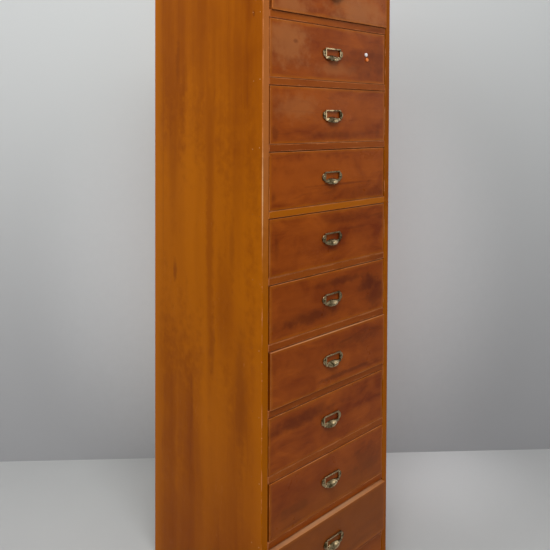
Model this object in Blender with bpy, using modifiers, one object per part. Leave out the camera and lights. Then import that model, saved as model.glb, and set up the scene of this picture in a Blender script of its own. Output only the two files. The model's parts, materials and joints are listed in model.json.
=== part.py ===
"""Tall chest of ten shallow paper drawers, with a card frame and cup pull on each.

Metres, +Z up.  The front faces -Y.  The origin is on the floor, under the middle of the whole
chest with its drawers where they rest.  Every drawer slides out along -Y on its own runners.
"""

import math

import bmesh
import bpy
from mathutils import Matrix, Vector

# Case: overall sizes and board thicknesses
CASE_WIDTH = 0.480
CASE_DEPTH = 0.490
SIDE_THICKNESS = 0.020
TOP_THICKNESS = 0.020
TOP_OVERHANG = 0.006
BOTTOM_THICKNESS = 0.018
BACK_THICKNESS = 0.006
BACK_REBATE = 0.008
BACK_FLOOR_CLEARANCE = 0.020
PLINTH_HEIGHT = 0.105
PLINTH_THICKNESS = 0.016
PLINTH_SETBACK = 0.001

# Drawer openings, and the rails and runners between them
OPENING_HEIGHT = 0.142
RAIL_HEIGHT = 0.018
RAIL_DEPTH = 0.050
RUNNER_WIDTH = 0.022
POST_DEPTH = 0.025

# Drawers
FRONT_THICKNESS = 0.018
FRONT_SIDE_CLEARANCE = 0.0030
FRONT_TOP_CLEARANCE = 0.0018
FRONT_FOOT_CLEARANCE = 0.0008
BOX_SIDE_THICKNESS = 0.010
BOX_BACK_THICKNESS = 0.010
BOX_SIDE_CLEARANCE = 0.0035
BOX_HEADROOM = 0.008
STOP_CLEARANCE = 0.001
SHEET_THICKNESS = 0.005
GROOVE_DEPTH = 0.005
GROOVE_RISE = 0.008

# From the top drawer down: how far each stands out of the case at rest, and how far it sits to the right
OPEN_BY = (0.0040, 0.0005, 0.0005, 0.0005, 0.0010, 0.0005, 0.0035, 0.0005, 0.0010, 0.0120)
SIT_RIGHT_BY = (0.0024, -0.0022, -0.0008, -0.0020, -0.0010, 0.0008, 0.0018, -0.0008, 0.0015, 0.0)

# Card frame and finger cup, about the middle of the drawer front
CARD_FRAME_WIDTH = 0.058
CARD_FRAME_HEIGHT = 0.0275
CARD_FRAME_BAR = 0.0036
CARD_FRAME_LOWER_BAR = 0.0062
CARD_FRAME_DEPTH = 0.0042
EAR_RADIUS = 0.0105
EAR_REACH = 0.0085
EAR_THICKNESS = 0.0036
CUP_HALF_WIDTH = 0.024
CUP_LENGTH = 0.0115
CUP_HEIGHT = 0.007
CUP_TILT = math.radians(40.0)
CUP_CENTRE_DROP = 0.012
CUP_WALL = 0.0015

# Two drawing pins pushed into one drawer front: colour, distance right of the middle, height above it
PIN_DRAWER = 2
PINS = (("white", 0.1348, 0.0070), ("orange", 0.1392, -0.0064))
PIN_HEAD_RADIUS = 0.0052
PIN_HEAD_DEPTH = 0.0030
PIN_RIM_DEPTH = 0.0010
PIN_CROWN_RADIUS = 0.0042
PIN_CROWN_DEPTH = 0.0024
PIN_SHANK_RADIUS = 0.0006
PIN_SHANK_LENGTH = 0.0080

# Gap left between pieces that touch, edge rounding, and fineness of round forms
GAP = 0.0003
MERGE_DISTANCE = 0.00001
EASED_EDGE = 0.0012
CUT_PAST = 0.002
CUP_SEGMENTS = 24
EAR_SEGMENTS = 28
PIN_SEGMENTS = 16

# Worked out from the sizes above
DRAWER_COUNT = len(OPEN_BY)
INNER_WIDTH = CASE_WIDTH - 2 * SIDE_THICKNESS
PITCH = OPENING_HEIGHT + RAIL_HEIGHT
FLOOR_OF_DRAWERS = PLINTH_HEIGHT + BOTTOM_THICKNESS
UNDER_TOP = FLOOR_OF_DRAWERS + DRAWER_COUNT * PITCH - RAIL_HEIGHT
PULL_REACH = GAP + math.hypot(CUP_LENGTH * math.cos(CUP_TILT), CUP_HEIGHT * math.sin(CUP_TILT))
FRONT_REACH = max(reach + PULL_REACH for reach in OPEN_BY)
CASE_FRONT = (FRONT_REACH - CASE_DEPTH) / 2
CASE_BACK = CASE_FRONT + CASE_DEPTH
POST_FRONT = CASE_BACK - BACK_THICKNESS - GAP - POST_DEPTH
DRAWER_LENGTH = POST_FRONT - STOP_CLEARANCE - CASE_FRONT
FRONT_WIDTH = INNER_WIDTH - 2 * FRONT_SIDE_CLEARANCE
BOX_WIDTH = INNER_WIDTH - 2 * BOX_SIDE_CLEARANCE
BOX_INNER_WIDTH = BOX_WIDTH - 2 * BOX_SIDE_THICKNESS
BOX_BASE = GAP - OPENING_HEIGHT / 2
BOX_TOP = OPENING_HEIGHT / 2 - BOX_HEADROOM
GROOVE_BASE = BOX_BASE + GROOVE_RISE
GROOVE_TOP = GROOVE_BASE + SHEET_THICKNESS + 2 * GAP


def clear_scene():
    """Removes every object, so that the chest stands alone."""
    for old in list(bpy.data.objects):
        bpy.data.objects.remove(old, do_unlink=True)


def new_collection(name):
    """An empty collection in the scene."""
    made = bpy.data.collections.new(name)
    bpy.context.scene.collection.children.link(made)
    return made


def new_material(name, colour, roughness, metallic=0.0):
    """A plain surface finish."""
    made = bpy.data.materials.new(name)
    made.use_nodes = True
    shader = made.node_tree.nodes["Principled BSDF"]
    shader.inputs["Base Color"].default_value = (*colour, 1.0)
    shader.inputs["Roughness"].default_value = roughness
    shader.inputs["Metallic"].default_value = metallic
    return made


def box_mesh(name, low, high):
    """A rectangular block between two corners."""
    low = Vector(low)
    high = Vector(high)
    form = bmesh.new()
    bmesh.ops.create_cube(form, size=1.0)
    bmesh.ops.scale(form, vec=high - low, verts=form.verts)
    bmesh.ops.translate(form, vec=(low + high) / 2, verts=form.verts)
    return finished_mesh(form, name)


def round_mesh(name, radius, start, end, x, z, segments):
    """A round bar along Y between two depths."""
    form = bmesh.new()
    turn = Matrix.Rotation(math.pi / 2, 4, "X")
    bmesh.ops.create_cone(form, cap_ends=True, segments=segments, radius1=radius, radius2=radius,
                          depth=end - start, matrix=turn)
    bmesh.ops.translate(form, vec=(x, (start + end) / 2, z), verts=form.verts)
    return finished_mesh(form, name)


def egg_mesh(name, half_sizes):
    """A sphere stretched to three half sizes."""
    form = bmesh.new()
    bmesh.ops.create_uvsphere(form, u_segments=CUP_SEGMENTS, v_segments=CUP_SEGMENTS // 2, radius=1.0)
    bmesh.ops.scale(form, vec=half_sizes, verts=form.verts)
    return finished_mesh(form, name)


def finished_mesh(form, name):
    """Turns a bmesh into a mesh and lets the bmesh go."""
    mesh = bpy.data.meshes.new(name)
    form.to_mesh(mesh)
    form.free()
    return mesh


def place(name, mesh, material, collection, parent=None, location=(0.0, 0.0, 0.0)):
    """Puts a mesh in the scene as one named piece."""
    piece = bpy.data.objects.new(name, mesh)
    collection.objects.link(piece)
    piece.location = location
    piece.parent = parent
    if not mesh.materials:
        mesh.materials.append(material)
    return piece


def ease_edges(piece, width):
    """Rounds a piece's edges a little."""
    rounding = piece.modifiers.new("eased edges", "BEVEL")
    rounding.width = width
    rounding.segments = 1
    rounding.limit_method = "ANGLE"


def shaped_mesh(name, base, steps, cutters):
    """A mesh after Boolean steps, each an operation and the mesh that it works with."""
    body = bpy.data.objects.new(name + "_blank", base)
    cutters.objects.link(body)
    tools = []
    for operation, tool_mesh in steps:
        tool = bpy.data.objects.new(name + "_tool", tool_mesh)
        cutters.objects.link(tool)
        change = body.modifiers.new(operation.lower(), "BOOLEAN")
        change.operation = operation
        change.solver = "EXACT"
        change.object = tool
        tools.append(tool)
    bpy.context.view_layer.update()
    seen = body.evaluated_get(bpy.context.evaluated_depsgraph_get())
    mesh = bpy.data.meshes.new_from_object(seen)
    mesh.name = name
    for used in tools + [body]:
        used.hide_render = True
        used.display_type = "WIRE"
    return mesh


def outline_mesh(name, points, low_x, high_x, cutters):
    """A flat shape in the YZ plane, given as (y, z) corners, made solid between two X values."""
    curve = bpy.data.curves.new(name + "_outline", "CURVE")
    curve.dimensions = "2D"
    curve.fill_mode = "BOTH"
    curve.extrude = (high_x - low_x) / 2
    line = curve.splines.new("POLY")
    line.points.add(len(points) - 1)
    for corner, (y, z) in zip(line.points, points):
        corner.co = (y, z, 0.0, 1.0)
    line.use_cyclic_u = True
    drawn = bpy.data.objects.new(name + "_outline", curve)
    cutters.objects.link(drawn)
    bpy.context.view_layer.update()
    seen = drawn.evaluated_get(bpy.context.evaluated_depsgraph_get())
    mesh = bpy.data.meshes.new_from_object(seen)
    mesh.name = name
    bpy.data.objects.remove(drawn, do_unlink=True)
    form = bmesh.new()
    form.from_mesh(mesh)
    bmesh.ops.remove_doubles(form, verts=form.verts, dist=MERGE_DISTANCE)
    # Turns the drawing's (x, y, depth) into the chest's (y, z, x)
    stand_up = Matrix(((0, 0, 1, 0), (1, 0, 0, 0), (0, 1, 0, 0), (0, 0, 0, 1)))
    bmesh.ops.transform(form, matrix=stand_up, verts=form.verts)
    bmesh.ops.translate(form, vec=((low_x + high_x) / 2, 0.0, 0.0), verts=form.verts)
    form.to_mesh(mesh)
    form.free()
    return mesh


def opening_base(number):
    """Height of the surface that a drawer runs on, counted from 1 at the top."""
    return FLOOR_OF_DRAWERS + (DRAWER_COUNT - number) * PITCH


def build_case(collection, cutters, wood, sheet):
    """Sides, top, bottom, plinth and back."""
    half = CASE_WIDTH / 2
    rebate_front = CASE_BACK - BACK_THICKNESS - GAP
    for name, side in (("side_panel_left", -1), ("side_panel_right", 1)):
        inner = side * (half - SIDE_THICKNESS)
        outer = side * half
        rebate_edge = inner + side * BACK_REBATE
        board = box_mesh(name, (min(inner, outer), CASE_FRONT, 0.0),
                         (max(inner, outer), CASE_BACK, UNDER_TOP - GAP))
        past = inner - side * CUT_PAST
        rebate = box_mesh(name + "_rebate",
                          (min(past, rebate_edge), rebate_front, -CUT_PAST),
                          (max(past, rebate_edge), CASE_BACK + CUT_PAST, UNDER_TOP + CUT_PAST))
        place(name, shaped_mesh(name, board, [("DIFFERENCE", rebate)], cutters), wood, collection)
    top = place("top_board",
                box_mesh("top_board", (-half - TOP_OVERHANG, CASE_FRONT - TOP_OVERHANG, UNDER_TOP),
                         (half + TOP_OVERHANG, CASE_BACK, UNDER_TOP + TOP_THICKNESS)),
                wood, collection)
    ease_edges(top, EASED_EDGE)
    between = half - SIDE_THICKNESS - GAP
    place("bottom_board",
          box_mesh("bottom_board", (-between, CASE_FRONT, PLINTH_HEIGHT),
                   (between, rebate_front - GAP, FLOOR_OF_DRAWERS)),
          wood, collection)
    plinth_front = CASE_FRONT + PLINTH_SETBACK
    place("plinth_board",
          box_mesh("plinth_board", (-between, plinth_front, 0.0),
                   (between, plinth_front + PLINTH_THICKNESS, PLINTH_HEIGHT - GAP)),
          wood, collection)
    back_edge = half - SIDE_THICKNESS + BACK_REBATE - GAP
    place("back_panel",
          box_mesh("back_panel", (-back_edge, CASE_BACK - BACK_THICKNESS, BACK_FLOOR_CLEARANCE),
                   (back_edge, CASE_BACK, UNDER_TOP - GAP)),
          sheet, collection)


def build_rails(collection, wood):
    """The rail across the front under every drawer but the lowest."""
    between = INNER_WIDTH / 2 - GAP
    for number in range(1, DRAWER_COUNT):
        name = f"front_rail_{number:02d}"
        top = opening_base(number)
        place(name,
              box_mesh(name, (-between, CASE_FRONT, top - RAIL_HEIGHT),
                       (between, CASE_FRONT + RAIL_DEPTH, top)),
              wood, collection)


def ladder_outline():
    """Corners of a post with its runners, as (y, z): the post behind, the runners towards the front."""
    runner_front = CASE_FRONT + RAIL_DEPTH + GAP
    post_back = POST_FRONT + POST_DEPTH - GAP
    corners = [(post_back, UNDER_TOP - GAP), (post_back, FLOOR_OF_DRAWERS + GAP),
               (POST_FRONT, FLOOR_OF_DRAWERS + GAP)]
    for number in range(DRAWER_COUNT - 1, 0, -1):
        runner_top = opening_base(number)
        runner_base = runner_top - RAIL_HEIGHT
        corners.append((POST_FRONT, runner_base))
        corners.append((runner_front, runner_base))
        corners.append((runner_front, runner_top))
        corners.append((POST_FRONT, runner_top))
    corners.append((POST_FRONT, UNDER_TOP - GAP))
    return corners


def build_ladders(collection, cutters, wood):
    """The runners of each side, framed into one rear post."""
    outer = INNER_WIDTH / 2 - GAP
    inner = outer - RUNNER_WIDTH
    corners = ladder_outline()
    for name, low_x, high_x in (("runner_ladder_left", -outer, -inner),
                                ("runner_ladder_right", inner, outer)):
        place(name, outline_mesh(name, corners, low_x, high_x, cutters), wood, collection)


def drawer_front_mesh(name, cutters, holes=()):
    """A drawer front, grooved behind for the bottom sheet, with any pin holes."""
    half = FRONT_WIDTH / 2
    foot = FRONT_FOOT_CLEARANCE - OPENING_HEIGHT / 2
    head = OPENING_HEIGHT / 2 - FRONT_TOP_CLEARANCE
    board = box_mesh(name, (-half, 0.0, foot), (half, FRONT_THICKNESS, head))
    groove_half = BOX_INNER_WIDTH / 2 + GROOVE_DEPTH
    steps = [("DIFFERENCE", box_mesh(name + "_groove",
                                     (-groove_half, FRONT_THICKNESS - GROOVE_DEPTH, GROOVE_BASE),
                                     (groove_half, FRONT_THICKNESS + CUT_PAST, GROOVE_TOP)))]
    for x, z in holes:
        steps.append(("DIFFERENCE", round_mesh(name + "_hole", PIN_SHANK_RADIUS + GAP, -CUT_PAST,
                                               PIN_SHANK_LENGTH + GAP, x, z, PIN_SEGMENTS)))
    return shaped_mesh(name, board, steps, cutters)


def drawer_box_mesh(cutters):
    """Two sides and a back, open at the front, grooved for a bottom sheet that slides in from behind."""
    half = BOX_WIDTH / 2
    inner = BOX_INNER_WIDTH / 2
    front = FRONT_THICKNESS + GAP
    blank = box_mesh("drawer_box", (-half, front, BOX_BASE), (half, DRAWER_LENGTH, BOX_TOP))
    inside = box_mesh("drawer_box_inside", (-inner, front - CUT_PAST, BOX_BASE - CUT_PAST),
                      (inner, DRAWER_LENGTH - BOX_BACK_THICKNESS, BOX_TOP + CUT_PAST))
    groove = box_mesh("drawer_box_groove", (-inner - GROOVE_DEPTH, front - CUT_PAST, GROOVE_BASE),
                      (inner + GROOVE_DEPTH, DRAWER_LENGTH + CUT_PAST, GROOVE_TOP))
    under_back = box_mesh("drawer_box_under_back",
                          (-inner, DRAWER_LENGTH - BOX_BACK_THICKNESS - CUT_PAST, BOX_BASE - CUT_PAST),
                          (inner, DRAWER_LENGTH + CUT_PAST, GROOVE_TOP))
    steps = [("DIFFERENCE", inside), ("DIFFERENCE", groove), ("DIFFERENCE", under_back)]
    return shaped_mesh("drawer_box", blank, steps, cutters)


def drawer_bottom_mesh():
    """The bottom sheet, held in the grooves with a gap all round."""
    half = BOX_INNER_WIDTH / 2 + GROOVE_DEPTH - GAP
    return box_mesh("drawer_bottom",
                    (-half, FRONT_THICKNESS - GROOVE_DEPTH + GAP, GROOVE_BASE + GAP),
                    (half, DRAWER_LENGTH, GROOVE_TOP - GAP))


def cup_mesh(cutters):
    """The finger cup: the upper half of a thin egg, leaning forward so that its rim dips at the front."""
    outer = (CUP_HALF_WIDTH, CUP_LENGTH, CUP_HEIGHT)
    inner = tuple(size - CUP_WALL for size in outer)
    keep = box_mesh("cup_keep", (-CUP_HALF_WIDTH - CUT_PAST, -CUP_LENGTH - CUT_PAST, 0.0),
                    (CUP_HALF_WIDTH + CUT_PAST, CUP_LENGTH + CUT_PAST, CUP_HEIGHT + CUT_PAST))
    steps = [("INTERSECT", keep), ("DIFFERENCE", egg_mesh("cup_hollow", inner))]
    leaning = shaped_mesh("cup_leaning", egg_mesh("cup_egg", outer), steps, cutters)
    lean = Matrix.Translation((0.0, -GAP, -CUP_CENTRE_DROP)) @ Matrix.Rotation(CUP_TILT, 4, "X")
    leaning.transform(lean)
    behind = box_mesh("cup_behind", (-CUP_HALF_WIDTH - CUT_PAST, -GAP, -CUP_CENTRE_DROP - 2 * CUP_LENGTH),
                      (CUP_HALF_WIDTH + CUT_PAST, 2 * CUP_LENGTH, 2 * CUP_LENGTH))
    return shaped_mesh("cup", leaning, [("DIFFERENCE", behind)], cutters)


def drawer_pull_mesh(cutters):
    """A card frame with a screw ear at each end and a finger cup swelling from its lower bar."""
    half = CARD_FRAME_WIDTH / 2
    tall = CARD_FRAME_HEIGHT / 2
    front = -GAP - CARD_FRAME_DEPTH
    frame = box_mesh("drawer_pull", (-half, front, -tall), (half, -GAP, tall))
    ear_offset = half + EAR_REACH - EAR_RADIUS
    steps = []
    for side in (-1, 1):
        ear = round_mesh("pull_ear", EAR_RADIUS, -GAP - EAR_THICKNESS, -GAP, side * ear_offset, 0.0,
                         EAR_SEGMENTS)
        steps.append(("UNION", ear))
    steps.append(("UNION", cup_mesh(cutters)))
    window_half = half - CARD_FRAME_BAR
    window = box_mesh("pull_window",
                      (-window_half, front - CUP_LENGTH, CARD_FRAME_LOWER_BAR - tall),
                      (window_half, CUT_PAST, tall - CARD_FRAME_BAR))
    steps.append(("DIFFERENCE", window))
    return shaped_mesh("drawer_pull", frame, steps, cutters)


def drawing_pin_mesh():
    """A domed head on a short shank, its axis along Y through its own origin."""
    form = bmesh.new()
    outline = [(0.0, PIN_SHANK_LENGTH), (PIN_SHANK_RADIUS, PIN_SHANK_LENGTH), (PIN_SHANK_RADIUS, -GAP),
               (PIN_HEAD_RADIUS, -GAP), (PIN_HEAD_RADIUS, -GAP - PIN_RIM_DEPTH),
               (PIN_CROWN_RADIUS, -GAP - PIN_CROWN_DEPTH), (0.0, -GAP - PIN_HEAD_DEPTH)]
    points = [form.verts.new((radius, y, 0.0)) for radius, y in outline]
    edges = [form.edges.new(pair) for pair in zip(points, points[1:])]
    bmesh.ops.spin(form, geom=points + edges, cent=(0.0, 0.0, 0.0), axis=(0.0, 1.0, 0.0),
                   angle=2 * math.pi, steps=PIN_SEGMENTS, use_merge=True)
    bmesh.ops.remove_doubles(form, verts=form.verts, dist=MERGE_DISTANCE)
    bmesh.ops.recalc_face_normals(form, faces=form.faces)
    return finished_mesh(form, "drawing_pin")


def build_drawers(collection, cutters, finishes):
    """Ten drawers, each under an empty on its line of travel at the middle of its front face."""
    holes = [(x, z) for colour, x, z in PINS]
    plain_front = drawer_front_mesh("drawer_front", cutters)
    pinned_front = drawer_front_mesh("drawer_front_pinned", cutters, holes)
    box = drawer_box_mesh(cutters)
    bottom = drawer_bottom_mesh()
    pull = drawer_pull_mesh(cutters)
    for number, (reach, aside) in enumerate(zip(OPEN_BY, SIT_RIGHT_BY), start=1):
        slide = bpy.data.objects.new(f"drawer_{number:02d}_slide", None)
        collection.objects.link(slide)
        slide.location = (aside, CASE_FRONT - reach, opening_base(number) + OPENING_HEIGHT / 2)
        front = pinned_front if number == PIN_DRAWER else plain_front
        place(f"drawer_front_{number:02d}", front, finishes["front"], collection, slide)
        place(f"drawer_box_{number:02d}", box, finishes["inside"], collection, slide)
        place(f"drawer_bottom_{number:02d}", bottom, finishes["sheet"], collection, slide)
        place(f"drawer_pull_{number:02d}", pull, finishes["brass"], collection, slide)
        if number == PIN_DRAWER:
            for colour, x, z in PINS:
                place(f"drawing_pin_{colour}", drawing_pin_mesh(), finishes[colour], collection, slide,
                      (x, 0.0, z))


def main():
    """Builds the chest."""
    clear_scene()
    chest = new_collection("paper_drawer_chest")
    cutters = new_collection("cutters")
    finishes = {
        "case": new_material("case_wood", (0.29, 0.085, 0.015), 0.35),
        "front": new_material("front_wood", (0.20, 0.045, 0.012), 0.30),
        "inside": new_material("inside_wood", (0.42, 0.24, 0.11), 0.65),
        "sheet": new_material("sheet_wood", (0.38, 0.22, 0.10), 0.70),
        "brass": new_material("pull_brass", (0.45, 0.32, 0.13), 0.32, 1.0),
        "white": new_material("pin_white", (0.80, 0.80, 0.76), 0.35),
        "orange": new_material("pin_orange", (0.80, 0.22, 0.05), 0.35),
    }
    build_case(chest, cutters, finishes["case"], finishes["sheet"])
    build_rails(chest, finishes["case"])
    build_ladders(chest, cutters, finishes["inside"])
    build_drawers(chest, cutters, finishes)


main()
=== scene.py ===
"""Looks for a tall chest of ten shallow paper drawers: eased boards, cast pulls, pins, nails and a stage.

Metres, +Z up, in the chest's own frame.  The front faces -Y and the origin is on the floor.
"""

import json
import math
import random

import bmesh
import bpy
from bpy.props import FloatProperty, FloatVectorProperty, IntProperty, PointerProperty
from mathutils import Matrix, Vector

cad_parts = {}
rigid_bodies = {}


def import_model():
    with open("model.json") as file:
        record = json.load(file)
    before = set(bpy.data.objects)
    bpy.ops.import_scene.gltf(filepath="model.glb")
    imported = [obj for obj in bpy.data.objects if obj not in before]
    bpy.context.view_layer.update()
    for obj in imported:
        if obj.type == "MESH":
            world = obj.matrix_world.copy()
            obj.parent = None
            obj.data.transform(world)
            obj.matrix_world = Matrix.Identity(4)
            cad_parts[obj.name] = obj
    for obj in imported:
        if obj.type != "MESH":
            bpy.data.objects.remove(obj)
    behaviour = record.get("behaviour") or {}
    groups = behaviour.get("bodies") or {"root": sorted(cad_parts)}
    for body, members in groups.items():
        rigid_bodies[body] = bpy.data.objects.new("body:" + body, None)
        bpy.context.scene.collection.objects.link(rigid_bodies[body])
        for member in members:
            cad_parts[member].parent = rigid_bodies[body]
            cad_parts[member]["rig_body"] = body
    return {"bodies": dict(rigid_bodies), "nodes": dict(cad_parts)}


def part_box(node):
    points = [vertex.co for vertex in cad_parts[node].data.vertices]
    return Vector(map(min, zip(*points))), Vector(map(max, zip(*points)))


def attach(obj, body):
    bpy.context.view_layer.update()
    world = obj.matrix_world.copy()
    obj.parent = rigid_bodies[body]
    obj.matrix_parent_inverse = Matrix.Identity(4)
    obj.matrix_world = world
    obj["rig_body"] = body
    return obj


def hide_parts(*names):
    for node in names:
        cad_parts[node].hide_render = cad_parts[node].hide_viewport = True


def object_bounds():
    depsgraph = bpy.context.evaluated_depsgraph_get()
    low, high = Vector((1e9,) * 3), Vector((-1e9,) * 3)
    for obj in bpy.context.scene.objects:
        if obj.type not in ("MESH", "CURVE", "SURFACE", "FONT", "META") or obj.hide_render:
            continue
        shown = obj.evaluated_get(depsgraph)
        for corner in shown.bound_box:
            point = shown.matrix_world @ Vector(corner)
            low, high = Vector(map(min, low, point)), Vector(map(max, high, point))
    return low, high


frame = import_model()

bl_info = {
    "name": "Paper Drawer Chest",
    "version": (1, 0, 0),
    "blender": (4, 5, 0),
    "location": "3D View > Sidebar > Paper Chest",
    "description": "Finished boards, pulls, pins, nails and stage for a tall chest of paper drawers",
    "category": "Object",
}

# Places and sizes taken from the frame
LEFT_LOW, LEFT_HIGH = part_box("side_panel_left")
RIGHT_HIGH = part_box("side_panel_right")[1]
BACK_LOW, BACK_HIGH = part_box("back_panel")
DRAWERS = sorted(name for name in frame["bodies"] if name.startswith("drawer_"))
RAILS = sorted(name for name in frame["nodes"] if name.startswith("front_rail_"))
CASE_FRONT = LEFT_LOW.y
CHEST_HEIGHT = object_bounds()[1].z

# Cleaning and easing of meshes
MERGE_DISTANCE = 0.00002
FLAT_ANGLE = math.radians(1.0)
CORNER_ANGLE = math.radians(35.0)
SHORTEST_ROUNDED_EDGE = 0.004
EDGE_STEPS = 3
TOP_EDGE_SHARE = 1.6
BOX_BACK_THICKNESS = 0.0095

# Seeds that give each board its own stretch of wood
SEEDS = {"side_panel_left": 0.13, "side_panel_right": 0.37, "top_board": 0.52, "back_panel": 0.94,
         "bottom_board": 0.71, "plinth_board": 0.88, "runner_ladder_left": 0.21, "runner_ladder_right": 0.66}
RAIL_SEED = 0.05
RAIL_SEED_STEP = 0.093
DRAWER_SEED = 0.031
DRAWER_SEED_STEP = 0.0973
BOX_SEED_SHIFT = 0.4
BOTTOM_SEED_SHIFT = 0.7

# Screws, as shares of the head's or the ear's size
EAR_STEPS = 32
SCREW_STEPS = (20, 12)
SLOT_LENGTH_SHARE = 0.84
SLOT_FLOOR_SHARE = 0.35
SCREW_PLACE_SHARE = 0.62
SCREW_LIFT = 0.0001
SCREW_TURN_SEED = 11

# How bright the brass stays: a painted highlight on the frame's left bar, rubbing by fingers on the rest of
# the frame, and where across the cup the painted highlight on its right half starts and ends
LEFT_BAR_HIGHLIGHT = 0.80
FRAME_RUB = 0.15
CUP_HIGHLIGHT_START = -0.3
CUP_HIGHLIGHT_END = 0.2

# A drawing pin's head as shares of its radius and depth, then its shank
PIN_DOME = ((0.0, 0.0), (0.62, 0.03), (0.90, 0.16), (1.0, 0.42), (0.97, 1.0))
PIN_HEAD_DEPTH = 0.003
PIN_SHANK_RADIUS = 0.0006
PIN_POINT_LENGTH = 0.002
PIN_STEPS = 24

# Nails: how proud they stand and how far they stray
NAIL_STEPS = 12
NAIL_TAPER = 0.72
NAIL_SUNK = 0.0005
SIDE_NAIL_HEIGHT = 0.0006
SIDE_NAIL_PITCH = 0.026
SIDE_NAIL_STRAY = (0.002, 0.004)
BACK_NAIL_HEIGHT = 0.0005
BACK_NAIL_INSET = 0.006
BACK_NAIL_MARGIN = 0.03
BACK_NAIL_SPACES = 12
BACK_NAIL_STRAY = (0.001, 0.006)
NAIL_SEED = 5

# The stage: sizes of floor and wall, and their painted pools of light as (reach, strength, raggedness)
FLOOR_HALF_WIDTH = 12.0
WALL_WIDTH = 12.0
WALL_HEIGHT = 6.0
WALL_SHADE_START = -0.2
FLOOR_GLOW_CENTRE = (0.75, 0.10, 0.0)
FLOOR_GLOW = ((0.5, 0.5, 1.0), 0.6, 0.05)
WALL_GLOW_HEIGHT = 0.70
WALL_GLOW_ASIDE = 0.03
WALL_GLOW = ((0.9, 0.9, 0.9), 0.9, 0.05)
NEAREST_SEEN = 0.05

# Each light: its name, where it stands, its width and height, and the setting that holds its power
LIGHTS = (
    ("Overhead light", (-0.9, -1.3, 3.325), (1.8, 1.8), "key_power"),
    ("Side light", (-2.8, 0.3, 2.325), (1.4, 2.2), "side_power"),
    ("Front light", (2.3, -2.2, 1.925), (0.7, 1.6), "front_power"),
    ("Right light", (2.4, -0.4, 1.225), (2.0, 2.2), "right_power"),
)
LIT_HEIGHT_SHARE = 0.6


def metres(name, description, default):
    """A length that a user can change."""
    return FloatProperty(name=name, description=description, default=default, min=0.0, unit="LENGTH",
                         subtype="DISTANCE", precision=4)


def colour(name, description, default):
    """A colour that a user can change."""
    return FloatVectorProperty(name=name, description=description, default=default, size=3, min=0.0,
                               max=1.0, subtype="COLOR")


def share(name, description, default, highest=1.0):
    """A plain number that a user can change."""
    return FloatProperty(name=name, description=description, default=default, min=0.0, max=highest)


def angle(name, description, degrees):
    """An angle that a user can change."""
    return FloatProperty(name=name, description=description, default=math.radians(degrees), subtype="ANGLE",
                         unit="ROTATION")


class BoardSizes(bpy.types.PropertyGroup):
    """Roundings of the boards, and the nails that hold them."""

    case_edge: metres("Case edges", "Radius of the rounded edges of sides, top and plinth", 0.0016)
    rail_edge: metres("Rail edges", "Radius of the rounded edges of the rails", 0.0018)
    front_edge: metres("Drawer front edges", "Radius of the rounded edges of the drawer fronts", 0.0011)
    inside_edge: metres("Inside edges", "Radius of the rounded edges of drawer boxes and runners", 0.0008)
    sheet_edge: metres("Sheet edges", "Radius of the rounded edges of the thin sheets", 0.0004)
    nail_radius: metres("Nail heads", "Radius of the nail heads", 0.0015)
    nail_inset: metres("Nail inset", "How far the side nails stand behind the front edge", 0.010)


class PullSizes(bpy.types.PropertyGroup):
    """Sizes of the cast card frame and finger cup."""

    bar: metres("Bars", "Width of the card frame's upper and side bars", 0.0036)
    lower_bar: metres("Lower bar", "Width of the card frame's lower bar", 0.0062)
    depth: metres("Depth", "Thickness of the card frame", 0.0042)
    frame_width: metres("Frame width", "Width of the card frame without its ears", 0.0580)
    frame_height: metres("Frame height", "Height of the card frame", 0.0275)
    ear_radius: metres("Ears", "Radius of the rounded screw ears", 0.0105)
    ear_depth: metres("Ear depth", "Thickness of the screw ears", 0.0036)
    corner: metres("Corners", "Radius of the card frame's outer corners", 0.0016)
    rim: metres("Rims", "Rounding of the casting's front edges", 0.0014)
    cup_half_width: metres("Cup half width", "Half the width of the finger cup", 0.0240)
    cup_length: metres("Cup length", "Half length of the cup's oval, front to back", 0.0115)
    cup_height: metres("Cup height", "Rise of the cup's oval above its rim", 0.0070)
    cup_drop: metres("Cup drop", "Distance of the cup's middle below the card frame's middle", 0.0120)
    cup_wall: metres("Cup wall", "Thickness of the cup", 0.0014)
    cup_tilt: angle("Cup tilt", "How far the cup leans forward", 40.0)
    gap: metres("Gap", "Gap between the casting and the wood behind it", 0.0003)
    screw_radius: metres("Screw heads", "Radius of the round screw heads", 0.0031)
    screw_height: metres("Screw height", "How far the screw heads stand out of the ears", 0.0016)
    slot_width: metres("Screw slots", "Width of the slots in the screw heads", 0.0008)
    cup_segments: IntProperty(name="Cup segments", description="Fineness of the cup's oval",
                              default=40, min=12, max=96)


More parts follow.
